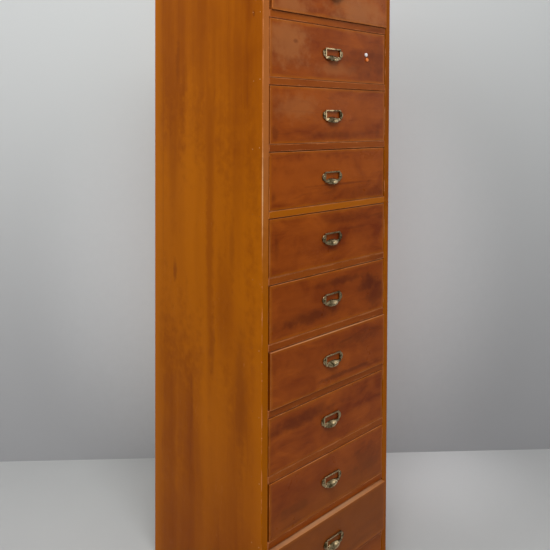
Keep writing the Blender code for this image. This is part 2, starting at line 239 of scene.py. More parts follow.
class ChestColours(bpy.types.PropertyGroup):
    """Colours of the woods, the metal and the pins."""

    case_light: colour("Case light", "Light bands of the case wood", (0.510, 0.140, 0.002))
    case_dark: colour("Case dark", "Dark bands of the case wood", (0.235, 0.046, 0.002))
    case_streak: colour("Case streaks", "Darkest streaks and knots of the case wood", (0.200, 0.040, 0.004))
    rail_light: colour("Rail light", "Light bands of the rails", (0.420, 0.100, 0.008))
    rail_dark: colour("Rail dark", "Dark bands of the rails", (0.250, 0.044, 0.005))
    front_light: colour("Front light", "Light figure of the drawer fronts", (0.430, 0.090, 0.007))
    # Painted sheen: a lighter tan haze stands in for reflections on the upper drawer fronts.
    front_painted_sheen: colour("Front haze", "Milky old finish of the upper drawer fronts", (0.430, 0.150, 0.045))
    front_brown: colour("Front brown", "Browner wood of the lowest drawer front", (0.250, 0.068, 0.006))
    front_dark: colour("Front dark", "Dark figure of the drawer fronts", (0.220, 0.032, 0.003))
    front_streak: colour("Front streaks", "Darkest patches of the drawer fronts", (0.095, 0.012, 0.003))
    # Worn edges: real wear, also made pale and wide so that it paints the highlight along lit arrises.
    worn_edge_and_highlight: colour("Worn edges", "Wood laid bare along the edges", (0.720, 0.265, 0.095))
    # Pale edge colour: painted highlight along lit edges, on the near corner over some real wear.
    scuff_and_highlight: colour("Scuffed edges", "Pale fibres on the most knocked corner", (0.780, 0.450, 0.230))
    bare_light: colour("Bare wood light", "Light bands of the unfinished wood inside", (0.560, 0.360, 0.180))
    bare_dark: colour("Bare wood dark", "Dark bands of the unfinished wood inside", (0.400, 0.225, 0.095))
    sheet_light: colour("Sheet light", "Light bands of the thin sheets", (0.520, 0.330, 0.165))
    sheet_dark: colour("Sheet dark", "Dark bands of the thin sheets", (0.360, 0.200, 0.090))
    dust: colour("Dust", "Dust lying on level faces", (0.450, 0.410, 0.350))
    brass: colour("Brass", "Rubbed brass of the pulls", (0.640, 0.480, 0.270))
    tarnish: colour("Tarnish", "Tarnish in the pulls' hollows", (0.075, 0.055, 0.020))
    steel: colour("Steel", "Nail heads", (0.180, 0.150, 0.120))
    filler: colour("Filler", "Pale filler over the side nails", (0.700, 0.420, 0.200))
    white_pin: colour("White pin", "Head of the white drawing pin", (0.960, 0.930, 0.920))
    orange_pin: colour("Orange pin", "Head of the orange drawing pin", (0.950, 0.220, 0.006))


class StageSettings(bpy.types.PropertyGroup):
    """Floor, wall, lights and camera."""

    floor_colour: colour("Floor", "Colour of the floor", (0.605, 0.615, 0.605))
    # Painted shade: the wall is graded from the lighter colour at the chest's top down to the darker one at
    # the floor.
    wall_high: colour("Wall above", "Colour of the wall at the chest's top", (0.660, 0.675, 0.670))
    wall_low: colour("Wall below", "Colour of the wall at the floor", (0.440, 0.440, 0.450))
    # Painted light: the colour of the painted pools of light on wall and floor.
    glow: colour("Glow", "Colour of the lightest parts of wall and floor", (0.950, 0.955, 0.960))
    sky: colour("Surroundings", "Light from all round", (0.800, 0.820, 0.850))
    sky_strength: share("Surroundings strength", "Strength of the light from all round", 0.30, 5.0)
    key_power: share("Overhead light", "Power of the overhead light in watts", 56.0, 500.0)
    side_power: share("Side light", "Power of the light facing the left side in watts", 27.0, 500.0)
    front_power: share("Front light", "Power of the light to the right of the front in watts", 5.0, 500.0)
    right_power: share("Right light", "Power of the light that faces the right side in watts", 14.0, 500.0)
    wall_distance: metres("Wall distance", "Distance of the wall behind the chest's middle", 0.5534)
    wall_turn: angle("Wall turn", "Turn of the wall from square on to the camera", 2.755)
    lens: FloatProperty(name="Lens", description="Focal length in millimetres", default=39.13, min=10.0)
    shift: FloatProperty(name="Vertical shift", description="Lens shift that keeps the uprights upright",
                         default=-0.2614)
    stand_left: metres("Camera left", "Distance of the camera to the left of the near corner", 0.9148)
    stand_ahead: metres("Camera ahead", "Distance of the camera in front of the near corner", 1.0654)
    stand_height: metres("Camera height", "Height of the camera", 1.3031)
    turn: angle("Camera turn", "Turn of the camera to the right of straight on", 41.82)
    dip: angle("Camera dip", "How far the camera looks down", 1.154)
    roll: angle("Camera roll", "Tilt of the camera about its own line of sight", 0.2285)


# Shader nodes

class Nodes:
    """Adds nodes to one tree and joins them."""

    def __init__(self, tree):
        self.tree = tree

    def put(self, socket, value):
        """Joins a socket to an input, or sets the input to a plain value, a colour with full opacity."""
        if isinstance(value, bpy.types.NodeSocket):
            self.tree.links.new(value, socket)
        elif socket.type == "RGBA":
            socket.default_value = (*value, 1.0)
        else:
            socket.default_value = value

    def add(self, kind, inputs=None, **settings):
        """A node with its settings and its named inputs."""
        made = self.tree.nodes.new("ShaderNode" + kind)
        for name, value in settings.items():
            setattr(made, name, value)
        for name, value in (inputs or {}).items():
            self.put(made.inputs[name], value)
        return made

    def place(self):
        """The object's own coordinates."""
        return self.add("TexCoord").outputs["Object"]

    def calc(self, operation, first, second=0.0, clamp=False):
        """One step of arithmetic."""
        made = self.add("Math", operation=operation, use_clamp=clamp)
        self.put(made.inputs[0], first)
        self.put(made.inputs[1], second)
        return made.outputs[0]

    def plus(self, first, second, clamp=False):
        """The sum of two values."""
        return self.calc("ADD", first, second, clamp)

    def times(self, first, second, clamp=False):
        """The product of two values."""
        return self.calc("MULTIPLY", first, second, clamp)

    def centred(self, value):
        """A value from 0 to 1 moved to lie round 0."""
        return self.calc("SUBTRACT", value, 0.5)

    def along(self, operation, first, second=(0.0, 0.0, 0.0)):
        """One step of arithmetic on vectors."""
        made = self.add("VectorMath", operation=operation)
        self.put(made.inputs[0], first)
        self.put(made.inputs[1], second)
        return made.outputs["Value" if operation == "LENGTH" else "Vector"]

    def ramp(self, value, low, high, to_low=0.0, to_high=1.0):
        """A soft step from one value to another as the input goes from low to high."""
        made = self.add("MapRange", {"Value": value, "From Min": low, "From Max": high, "To Min": to_low,
                                     "To Max": to_high}, interpolation_type="SMOOTHSTEP")
        return made.outputs["Result"]

    def blend(self, factor, first, second):
        """A mix of two colours."""
        made = self.add("Mix", data_type="RGBA", blend_type="MIX")
        for index, value in ((0, factor), (6, first), (7, second)):
            self.put(made.inputs[index], value)
        return made.outputs[2]

    def noise(self, vector, scale, detail=2.0, roughness=0.5, distortion=0.0):
        """Smooth random values."""
        made = self.add("TexNoise", {"Vector": vector, "Scale": scale, "Detail": detail,
                                     "Roughness": roughness, "Distortion": distortion})
        return made.outputs["Fac"]

    def stretched(self, vector, scales):
        """A vector with each of its parts scaled."""
        return self.along("MULTIPLY", vector, scales)

    def use(self, name, **inputs):
        """A shared node group in use, with its named inputs."""
        made = self.add("Group")
        made.node_tree = effect(name)
        for title, value in inputs.items():
            self.put(made.inputs[title], value)
        return made.outputs

    def patch(self, place, centre, reach, strength, ragged):
        """How much a soft patch round one point covers a place."""
        return self.use("Patch", Vector=place, Centre=centre, Reach=reach, Strength=strength,
                        Ragged=ragged)["Mask"]


FLOAT = "NodeSocketFloat"
VECTOR = "NodeSocketVector"
COLOUR = "NodeSocketColor"


def new_group(name, takes, gives):
    """A node group with named inputs and outputs, ready to be filled."""
    tree = bpy.data.node_groups.new(name, "ShaderNodeTree")
    for title, kind in takes:
        tree.interface.new_socket(title, in_out="INPUT", socket_type=kind)
    for title, kind in gives:
        tree.interface.new_socket(title, in_out="OUTPUT", socket_type=kind)
    start = tree.nodes.new("NodeGroupInput")
    end = tree.nodes.new("NodeGroupOutput")
    return tree, Nodes(tree), start.outputs, end.inputs


def board_place_group():
    """Where a point lies on its own board: its distance from the nearest edge, and a shift of its own."""
    tree, nodes, _, end = new_group("Board place", [],
                                    [("Distance", FLOAT), ("Shift", VECTOR), ("Tone", FLOAT)])
    offset = nodes.add("Attribute", attribute_name="from_middle").outputs["Vector"]
    half = nodes.add("Attribute", attribute_name="half_size").outputs["Vector"]
    seed = nodes.add("Attribute", attribute_name="board_seed").outputs["Fac"]
    inward = nodes.along("SUBTRACT", half, nodes.along("ABSOLUTE", offset))
    parts = nodes.add("SeparateXYZ", {"Vector": inward}).outputs
    smaller = nodes.calc("MINIMUM", parts["X"], parts["Y"])
    larger = nodes.calc("MAXIMUM", parts["X"], parts["Y"])
    nearest = nodes.calc("MAXIMUM", smaller, nodes.calc("MINIMUM", larger, parts["Z"]))
    nodes.put(end["Distance"], nearest)
    shift = nodes.add("VectorMath", operation="SCALE")
    shift.inputs[0].default_value = (37.1, 23.3, 11.7)
    nodes.put(shift.inputs["Scale"], seed)
    nodes.put(end["Shift"], shift.outputs["Vector"])
    nodes.put(end["Tone"], nodes.calc("FRACT", nodes.times(seed, 7.31)))
    return tree


def wood_grain_group():
    """Bands, fine lines, mottle and pores, for grain that runs along X."""
    tree, nodes, start, end = new_group(
        "Wood grain",
        [("Vector", VECTOR), ("Light", COLOUR), ("Dark", COLOUR), ("Streak", COLOUR), ("Bands", FLOAT),
         ("Mottle", FLOAT), ("Lines", FLOAT), ("Pores", FLOAT)],
        [("Color", COLOUR), ("Height", FLOAT), ("Tone", FLOAT)])
    place = start["Vector"]
    sway = nodes.noise(nodes.stretched(place, (1.6, 1.0, 1.0)), 2.2, 2.0)
    lean = nodes.times(nodes.centred(sway), 0.05)
    swayed = nodes.along("ADD", place, nodes.add("CombineXYZ", {"Y": lean, "Z": lean}).outputs["Vector"])
    bands = nodes.noise(nodes.stretched(swayed, (0.05, 1.0, 1.0)), start["Bands"], 3.0, 0.55, 0.1)
    lines = nodes.noise(nodes.stretched(swayed, (0.012, 1.0, 1.0)), 330.0, 3.0, 0.6)
    mottle = nodes.noise(nodes.stretched(swayed, (0.55, 1.0, 1.0)), 21.0, 3.0, 0.55, 0.8)
    cloud = nodes.noise(place, 5.0, 2.0, 0.5, 0.4)
    figure = nodes.plus(nodes.times(nodes.centred(bands), 1.5),
                        nodes.times(nodes.centred(mottle), start["Mottle"]))
    fine = nodes.times(nodes.centred(lines), start["Lines"])
    broad = nodes.times(nodes.centred(cloud), 0.7)
    tone = nodes.plus(nodes.plus(figure, fine), nodes.plus(broad, 0.5), clamp=True)
    body = nodes.blend(tone, start["Dark"], start["Light"])
    streaks = nodes.noise(nodes.stretched(nodes.along("ADD", swayed, (3.1, 1.7, 5.3)), (0.07, 1.0, 1.0)),
                          55.0, 2.0, 0.6, 0.2)
    streak = nodes.times(nodes.ramp(streaks, 0.60, 0.78), 0.45)
    streaked = nodes.blend(streak, body, start["Streak"])
    speckle = nodes.noise(nodes.stretched(place, (0.05, 1.0, 1.0)), 1100.0, 1.0, 0.5)
    pore = nodes.times(nodes.ramp(speckle, 0.60, 0.72), start["Pores"])
    nodes.put(end["Color"], nodes.blend(pore, streaked, start["Streak"]))
    nodes.put(end["Height"], nodes.calc("SUBTRACT", nodes.times(lines, 0.35), pore))
    nodes.put(end["Tone"], tone)
    return tree


def edge_wear_group():
    """Finish rubbed thin along the edges and knocked off in places."""
    tree, nodes, start, end = new_group(
        "Edge wear",
        [("Color", COLOUR), ("Worn", COLOUR), ("Vector", VECTOR), ("Distance", FLOAT), ("Reach", FLOAT),
         ("Amount", FLOAT), ("Evenness", FLOAT)],
        [("Color", COLOUR), ("Mask", FLOAT)])
    patchy = nodes.noise(start["Vector"], 14.0, 4.0, 0.65)
    nicks = nodes.noise(start["Vector"], 160.0, 2.0, 0.5)
    spread = nodes.plus(nodes.times(nodes.ramp(patchy, 0.42, 0.66), 1.3),
                        nodes.times(nodes.ramp(nicks, 0.60, 0.74), 1.6))
    reach = nodes.times(start["Reach"], nodes.plus(spread, start["Evenness"]))
    nearness = nodes.calc("DIVIDE", start["Distance"], nodes.calc("MAXIMUM", reach, 0.00001))
    mask = nodes.times(nodes.ramp(nearness, 1.0, 0.25), start["Amount"], clamp=True)
    nodes.put(end["Color"], nodes.blend(mask, start["Color"], start["Worn"]))
    nodes.put(end["Mask"], mask)
    return tree


def polish_group():
    """Wiped varnish: soft smears, hair scratches and a roughness that changes over the surface."""
    tree, nodes, start, end = new_group(
        "Old polish",
        [("Vector", VECTOR), ("Roughness", FLOAT), ("Smears", FLOAT)],
        [("Roughness", FLOAT), ("Height", FLOAT), ("Scratch", FLOAT)])
    smear = nodes.noise(start["Vector"], 9.0, 4.0, 0.6, 1.2)
    prints = nodes.noise(start["Vector"], 70.0, 2.0, 0.5)
    uneven = nodes.plus(nodes.centred(smear),
                        nodes.times(nodes.centred(prints), 0.35))
    rough = nodes.plus(start["Roughness"], nodes.times(uneven, start["Smears"]), clamp=True)
    hair = nodes.noise(nodes.stretched(start["Vector"], (9.0, 60.0, 900.0)), 1.0, 1.0, 0.5, 2.5)
    scratch = nodes.ramp(nodes.calc("ABSOLUTE", nodes.centred(hair)), 0.0035, 0.0)
    some = nodes.ramp(nodes.noise(start["Vector"], 6.0, 1.0), 0.54, 0.66)
    scratch = nodes.times(scratch, some)
    ripple = nodes.noise(start["Vector"], 26.0, 2.0, 0.5)
    nodes.put(end["Roughness"], rough)
    nodes.put(end["Height"], nodes.calc("SUBTRACT", nodes.times(ripple, 0.6), scratch))
    nodes.put(end["Scratch"], scratch)
    return tree


def patch_group():
    """A soft darker or lighter patch round one point."""
    tree, nodes, start, end = new_group(
        "Patch",
        [("Vector", VECTOR), ("Centre", VECTOR), ("Reach", VECTOR), ("Strength", FLOAT), ("Ragged", FLOAT)],
        [("Mask", FLOAT)])
    away = nodes.along("DIVIDE", nodes.along("SUBTRACT", start["Vector"], start["Centre"]), start["Reach"])
    ragged = nodes.noise(start["Vector"], 38.0, 3.0, 0.6)
    distance = nodes.plus(nodes.along("LENGTH", away),
                          nodes.times(nodes.centred(ragged), start["Ragged"]))
    nodes.put(end["Mask"], nodes.times(nodes.ramp(distance, 1.15, 0.25), start["Strength"]))
    return tree


def dust_group():
    """Dust on the faces that look up."""
    tree, nodes, start, end = new_group(
        "Settled dust", [("Color", COLOUR), ("Dust", COLOUR), ("Vector", VECTOR), ("Amount", FLOAT)],
        [("Color", COLOUR), ("Mask", FLOAT)])
    upward = nodes.add("SeparateXYZ", {"Vector": nodes.add("NewGeometry").outputs["Normal"]}).outputs["Z"]
    cloud = nodes.noise(start["Vector"], 7.0, 5.0, 0.6)
    grit = nodes.noise(start["Vector"], 420.0, 2.0, 0.5)
    lying = nodes.times(nodes.ramp(upward, 0.6, 0.95), nodes.ramp(cloud, 0.25, 0.8))
    mask = nodes.times(nodes.times(lying, nodes.ramp(grit, 0.2, 0.75)), start["Amount"], clamp=True)
    nodes.put(end["Color"], nodes.blend(mask, start["Color"], start["Dust"]))
    nodes.put(end["Mask"], mask)
    return tree


def tarnish_group():
    """Brass bright where fingers rub it and where a painted highlight lies, and brown elsewhere."""
    tree, nodes, start, end = new_group(
        "Tarnish", [("Vector", VECTOR), ("Bright", COLOUR), ("Dull", COLOUR), ("Amount", FLOAT)],
        [("Color", COLOUR), ("Mask", FLOAT), ("Height", FLOAT)])
    cloud = nodes.noise(start["Vector"], 95.0, 4.0, 0.65, 0.5)
    spots = nodes.noise(start["Vector"], 700.0, 3.0, 0.6)
    hollow = nodes.add("NewGeometry").outputs["Pointiness"]
    sunk = nodes.ramp(hollow, 0.52, 0.44)
    cover = nodes.plus(nodes.times(nodes.ramp(cloud, 0.40, 0.66), 0.65),
                       nodes.times(sunk, 0.8))
    cover = nodes.plus(cover, nodes.times(nodes.ramp(spots, 0.58, 0.70), 0.35))
    cover = nodes.plus(cover, 0.3)
    mask = nodes.times(cover, start["Amount"], clamp=True)
    nodes.put(end["Color"], nodes.blend(mask, start["Bright"], start["Dull"]))
    nodes.put(end["Mask"], mask)
    nodes.put(end["Height"], nodes.plus(spots, nodes.times(cloud, 0.5)))
    return tree


GROUP_MAKERS = {
    "Board place": board_place_group,
    "Wood grain": wood_grain_group,
    "Edge wear": edge_wear_group,
    "Old polish": polish_group,
    "Patch": patch_group,
    "Settled dust": dust_group,
    "Tarnish": tarnish_group,
}


def effect(name):
    """A shared node group, made the first time it is asked for."""
    return bpy.data.node_groups.get(name) or GROUP_MAKERS[name]()

def new_surface(name, **shader_values):
    """A material with its shader's own plain values set, and its nodes to build on."""
    made = bpy.data.materials.new(name)
    made.use_nodes = True
    nodes = Nodes(made.node_tree)
    shader = made.node_tree.nodes["Principled BSDF"].inputs
    for title, value in shader_values.items():
        nodes.put(shader[title.replace("_", " ")], value)
    return made, nodes, shader


def bump(nodes, height, distance):
    """A normal raised by a height."""
    return nodes.add("Bump", {"Height": height, "Distance": distance}).outputs["Normal"]


GRAIN_TURNS = {"x": (0.0, 0.0, 0.0), "y": (0.0, 0.0, math.pi / 2), "z": (0.0, math.pi / 2, 0.0)}


def wood_material(colours, name, grain, light, dark, streak, bands, mottle, lines, pores, roughness, smears,
                  specular, wear, dust, sheen=(1.0, 0.8, 0.6), wear_reach=0.0012, wear_evenness=0.25,
                  fade=0.0, patches=(), tone_spread=0.35):
    """One wood of the chest, as it is cut and finished."""
    made, nodes, shader = new_surface(name, Specular_IOR_Level=specular, Specular_Tint=sheen)
    place = nodes.place()
    board = nodes.use("Board place")
    turned = nodes.add("Mapping", {"Vector": place, "Rotation": GRAIN_TURNS[grain]}).outputs["Vector"]
    own = nodes.along("ADD", turned, board["Shift"])
    figure = nodes.use("Wood grain", Vector=own, Light=light, Dark=dark, Streak=streak, Bands=bands,
                       Mottle=mottle, Lines=lines, Pores=pores)
    shade = nodes.ramp(board["Tone"], 0.0, 1.0, 0.0, tone_spread)
    body = nodes.blend(shade, figure["Color"], nodes.blend(0.5, figure["Color"], dark))
    for centre, reach, strength, ragged, patch_colour in patches:
        body = nodes.blend(nodes.patch(place, centre, reach, strength, ragged), body, patch_colour)
    if fade:
        wander = nodes.times(nodes.noise(own, 30.0, 2.0), 0.008)
        near_edge = nodes.ramp(nodes.plus(board["Distance"], wander), 0.0145, 0.004)
        body = nodes.blend(nodes.times(near_edge, fade), body, colours.case_light)
    worn = nodes.use("Edge wear", Color=body, Worn=colours.worn_edge_and_highlight, Vector=own, Distance=board["Distance"],
                     Reach=wear_reach, Amount=wear, Evenness=wear_evenness)
    polish = nodes.use("Old polish", Vector=own, Roughness=roughness, Smears=smears)
    scratched = nodes.blend(nodes.times(polish["Scratch"], 0.25), worn["Color"], colours.worn_edge_and_highlight)
    dusty = nodes.use("Settled dust", Color=scratched, Dust=colours.dust, Vector=own, Amount=dust)
    nodes.put(shader["Base Color"], dusty["Color"])
    rough = nodes.plus(polish["Roughness"], nodes.times(worn["Mask"], 0.15))
    nodes.put(shader["Roughness"], nodes.plus(rough, nodes.times(dusty["Mask"], 0.4), clamp=True))
    relief = nodes.plus(nodes.times(figure["Height"], 0.5), polish["Height"])
    nodes.put(shader["Normal"], bump(nodes, relief, 0.00012))
    return made


def tarnished(made, nodes, shader, old, smooth, rough, relief):
    """Gives a metal its tarnished colour, its roughness from smooth to rough, and its relief."""
    nodes.put(shader["Base Color"], old["Color"])
    nodes.put(shader["Roughness"], nodes.ramp(old["Mask"], 0.0, 1.0, smooth, rough))
    nodes.put(shader["Normal"], bump(nodes, old["Height"], relief))
    return made


def brass_material(colours):
    """Aged cast brass."""
    made, nodes, shader = new_surface("Aged cast brass", Metallic=1.0)
    place = nodes.place()
    # The rubbed attribute holds real rubbing and, on the frame's left bar and the cup's right half, a
    # painted highlight.
    rubbed = nodes.add("Attribute", attribute_name="rubbed").outputs["Fac"]
    old = nodes.use("Tarnish", Vector=place, Bright=colours.brass, Dull=colours.tarnish,
                    Amount=nodes.ramp(rubbed, 0.0, 1.0, 1.20, 0.20))
    return tarnished(made, nodes, shader, old, 0.16, 0.5, 0.00006)


def steel_material(colours):
    """Nail heads gone brown."""
    made, nodes, shader = new_surface("Browned steel", Metallic=0.8)
    old = nodes.use("Tarnish", Vector=nodes.place(), Bright=colours.steel, Dull=colours.tarnish, Amount=0.9)
    return tarnished(made, nodes, shader, old, 0.4, 0.75, 0.00004)


def filler_material(colours):
    """Pale filler rubbed over the side nails."""
    made, nodes, shader = new_surface("Pale nail filler", Specular_IOR_Level=0.25)
    place = nodes.place()
    crumb = nodes.noise(place, 900.0, 3.0, 0.6)
    here = nodes.ramp(nodes.noise(place, 11.0, 2.0), 0.42, 0.60)
    stained = nodes.blend(here, colours.case_dark, colours.filler)
    crumbs = nodes.ramp(crumb, 0.45, 0.7, 0.0, 0.4)
    nodes.put(shader["Base Color"], nodes.blend(crumbs, stained, colours.case_streak))
    nodes.put(shader["Roughness"], nodes.ramp(crumb, 0.3, 0.7, 0.5, 0.8))
    nodes.put(shader["Normal"], bump(nodes, crumb, 0.0001))
    return made


def enamel_material(name, rgb):
    """Glossy enamel on a drawing pin's head, grimy in places."""
    made, nodes, shader = new_surface(name, Coat_Weight=0.4, Coat_Roughness=0.12)
    place = nodes.place()
    grime = nodes.noise(place, 420.0, 3.0, 0.6)
    cloud = nodes.noise(place, 130.0, 2.0, 0.5)
    dull = tuple(part * 0.88 for part in rgb)
    nodes.put(shader["Base Color"], nodes.blend(nodes.ramp(cloud, 0.35, 0.75, 0.0, 0.6), rgb, dull))
    nodes.put(shader["Roughness"], nodes.ramp(grime, 0.3, 0.7, 0.25, 0.45))
    nodes.put(shader["Normal"], bump(nodes, grime, 0.00003))
    return made


# Meshes

def copy_of(node):
    """A CAD node's mesh with its doubles merged and its flat faces made whole."""
    form = bmesh.new()
    form.from_mesh(frame["nodes"][node].data)
    bmesh.ops.remove_doubles(form, verts=form.verts, dist=MERGE_DISTANCE)
    bmesh.ops.dissolve_limit(form, angle_limit=FLAT_ANGLE, verts=form.verts, edges=form.edges)
    return form


def ease(form, edges, radius):
    """Rounds some edges of a form."""
    bmesh.ops.bevel(form, geom=edges, offset=radius, offset_type="OFFSET", segments=EDGE_STEPS, profile=0.5,
                    affect="EDGES", clamp_overlap=True, material=-1)


def cut(form, point, facing, **settings):
    """Cuts a form by a plane."""
    return bmesh.ops.bisect_plane(form, geom=form.verts[:] + form.edges[:] + form.faces[:], plane_co=point,
                                  plane_no=facing, **settings)


def thicken(form, height):
    """Makes a flat form into a slab that stands on the ground."""
    raised = bmesh.ops.extrude_face_region(form, geom=form.faces[:])
    lifted = [item for item in raised["geom"] if isinstance(item, bmesh.types.BMVert)]
    bmesh.ops.translate(form, verts=lifted, vec=(0.0, 0.0, height))
    bmesh.ops.recalc_face_normals(form, faces=form.faces)


def finished_mesh(form, name):
    """A mesh from a form, shaded smooth between its corners."""
    mesh = bpy.data.meshes.new(name)
    form.to_mesh(mesh)
    form.free()
    mesh.shade_smooth()
    mesh.set_sharp_from_angle(angle=CORNER_ANGLE)
    return mesh


def note_board(mesh, seed):
    """Writes on each point where it lies on its board, for the finishes to read."""
    places = [vert.co.copy() for vert in mesh.vertices]
    low = Vector(map(min, *places))
    high = Vector(map(max, *places))
    middle = (low + high) / 2
    half = (high - low) / 2
    offsets = [part for place in places for part in place - middle]
    write_points(mesh, "from_middle", "FLOAT_VECTOR", "vector", offsets)
    write_points(mesh, "half_size", "FLOAT_VECTOR", "vector", list(half) * len(places))
    write_points(mesh, "board_seed", "FLOAT", "value", [seed] * len(places))


def write_points(mesh, name, kind, field, values):
    """Adds one named value for each point of a mesh."""
    mesh.attributes.new(name, kind, "POINT")
    mesh.attributes[name].data.foreach_set(field, values)


def add_object(name, data):
    """A new object in the scene."""
    made = bpy.data.objects.new(name, data)
    bpy.context.scene.collection.objects.link(made)
    return made


def show(name, mesh, material, body):
    """Puts a finished mesh in the scene as a piece that rides on a body."""
    piece = add_object(name, mesh)
    mesh.materials.append(material)
    evened = piece.modifiers.new("even shading", "WEIGHTED_NORMAL")
    evened.keep_sharp = True
    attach(piece, body)
    return piece


def show_for(node, name, mesh, material):
    """Shows a mesh on the body of a CAD node."""
    return show(name, mesh, material, frame["nodes"][node]["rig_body"])


def show_board(node, name, material, radius, seed):
    """An eased copy of a CAD board, shown in its place."""
    form = copy_of(node)
    sharp = [edge for edge in form.edges if edge.is_manifold and edge.calc_face_angle() > CORNER_ANGLE
             and edge.calc_length() > SHORTEST_ROUNDED_EDGE]
    ease(form, sharp, radius)
    mesh = finished_mesh(form, name)
    note_board(mesh, seed)
    piece = show_for(node, name, mesh, material)
    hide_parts(node)
    return piece


def disc(form, radius, height, matrix):
    """A low round head with an eased rim, its back on the origin and its axis along Z, then moved."""
    made = bmesh.ops.create_cone(form, cap_ends=True, cap_tris=False, segments=NAIL_STEPS, radius1=radius,
                                 radius2=radius * NAIL_TAPER, depth=height)
    bmesh.ops.translate(form, verts=made["verts"], vec=(0.0, 0.0, height / 2))
    bmesh.ops.transform(form, matrix=matrix, verts=made["verts"])


def pull_plate(sizes):
    """The card frame without its screw ears, lying flat with its face up."""
    form = bmesh.new()
    bmesh.ops.create_grid(form, x_segments=1, y_segments=1, size=0.5)
    bmesh.ops.scale(form, vec=(sizes.frame_width, sizes.frame_height, 1.0), verts=form.verts)
    bmesh.ops.bevel(form, geom=form.verts[:], offset=sizes.corner, offset_type="OFFSET", segments=EDGE_STEPS,
                    profile=0.5, affect="VERTICES", material=-1)
    bmesh.ops.inset_region(form, faces=form.faces[:], thickness=sizes.bar, use_boundary=True,
                           use_even_offset=True)
    inner = max(form.faces, key=lambda face: len(face.verts))
    below = [vert for vert in inner.verts if vert.co.y < 0.0]
    bmesh.ops.translate(form, verts=below, vec=(0.0, sizes.lower_bar - sizes.bar, 0.0))
    bmesh.ops.delete(form, geom=[inner], context="FACES_ONLY")
    thicken(form, sizes.depth)
    return form


def ear_form(sizes, side, reach):
    """One rounded screw ear, lying flat with its face up."""
    form = bmesh.new()
    bmesh.ops.create_circle(form, cap_ends=True, segments=EAR_STEPS, radius=sizes.ear_radius)
    bmesh.ops.translate(form, verts=form.verts, vec=(side * (reach - sizes.ear_radius), 0.0, 0.0))
    inside = sizes.frame_width / 2 - sizes.bar / 2
    cut(form, (side * inside, 0.0, 0.0), (side, 0.0, 0.0), clear_inner=True)
    thicken(form, sizes.ear_depth)
    return form


def ease_face(form, radius):
    """Rounds the edges round a flat casting's upper face."""
    top = max(vert.co.z for vert in form.verts)
    rim = [edge for edge in form.edges
           if all(abs(vert.co.z - top) < MERGE_DISTANCE for vert in edge.verts)
           and edge.calc_face_angle(0.0) > CORNER_ANGLE]
    ease(form, rim, radius)


def cup_form(sizes):
    """The finger cup: the upper half of a thin egg, leaning forward, flat against the wood."""
    form = bmesh.new()
    bmesh.ops.create_uvsphere(form, u_segments=sizes.cup_segments, v_segments=sizes.cup_segments // 2,
                              radius=1.0)
    bmesh.ops.scale(form, vec=(sizes.cup_half_width, sizes.cup_length, sizes.cup_height), verts=form.verts)
    cut(form, (0.0, 0.0, 0.0), (0.0, 0.0, 1.0), dist=MERGE_DISTANCE, clear_inner=True)
    bmesh.ops.remove_doubles(form, verts=form.verts, dist=MERGE_DISTANCE)
    bmesh.ops.recalc_face_normals(form, faces=form.faces)
    bmesh.ops.solidify(form, geom=form.faces[:], thickness=sizes.cup_wall)
    lean = Matrix.Translation((0.0, -sizes.gap, -sizes.cup_drop)) @ Matrix.Rotation(sizes.cup_tilt, 4, "X")
    bmesh.ops.transform(form, matrix=lean, verts=form.verts)
    back = cut(form, (0.0, -sizes.gap, 0.0), (0.0, 1.0, 0.0), dist=MERGE_DISTANCE, clear_outer=True)
    open_edges = [item for item in back["geom_cut"] if isinstance(item, bmesh.types.BMEdge)]
    bmesh.ops.triangle_fill(form, edges=open_edges, use_beauty=True, normal=(0.0, 1.0, 0.0))
    bmesh.ops.recalc_face_normals(form, faces=form.faces)
    return form


def screw_form(sizes, turn):
    """A round slotted screw head lying on its back, turned in its hole."""
    form = bmesh.new()
    bmesh.ops.create_uvsphere(form, u_segments=SCREW_STEPS[0], v_segments=SCREW_STEPS[1], radius=1.0)
    cut(form, (0.0, 0.0, 0.0), (0.0, 0.0, 1.0), dist=MERGE_DISTANCE, clear_inner=True)
    rim = [edge for edge in form.edges if edge.is_boundary]
    bmesh.ops.edgeloop_fill(form, edges=rim)
    bmesh.ops.scale(form, vec=(sizes.screw_radius, sizes.screw_radius, sizes.screw_height), verts=form.verts)
    half = sizes.slot_width / 2
    length = sizes.screw_radius * SLOT_LENGTH_SHARE
    for point, facing in (((half, 0, 0), (1, 0, 0)), ((-half, 0, 0), (1, 0, 0)), ((0, length, 0), (0, 1, 0)),
                          ((0, -length, 0), (0, 1, 0))):
        cut(form, point, facing)
    slot_faces = [face for face in form.faces
                  if abs(face.calc_center_median().x) < half and abs(face.calc_center_median().y) < length
                  and face.normal.z > 0.1]
    sunk = bmesh.ops.extrude_face_region(form, geom=slot_faces)
    bmesh.ops.delete(form, geom=slot_faces, context="FACES_ONLY")
    for vert in [item for item in sunk["geom"] if isinstance(item, bmesh.types.BMVert)]:
        vert.co.z = sizes.screw_height * SLOT_FLOOR_SHARE
    bmesh.ops.recalc_face_normals(form, faces=form.faces)
    bmesh.ops.rotate(form, verts=form.verts, matrix=Matrix.Rotation(turn, 3, "Z"))
    return form


def mark_rub_and_highlight(form, left_end, right_end, left_amount, right_amount):
    """Notes on each point how bright its brass stays, by rubbing and painted highlight: an amount at the
    left and one at the right.
    """
    layer = form.verts.layers.float.new("rubbed")
    for vert in form.verts:
        across = (vert.co.x - left_end) / (right_end - left_end)
        vert[layer] = left_amount + (right_amount - left_amount) * min(max(across, 0.0), 1.0)


def join_forms(forms):
    """Several forms in one."""
    whole = bmesh.new()
    for form in forms:
        part = bpy.data.meshes.new("part")
        form.to_mesh(part)
        form.free()
        whole.from_mesh(part)
        bpy.data.meshes.remove(part)
    return whole


STAND_UP = Matrix.Rotation(math.pi / 2, 4, "X")


# Operators

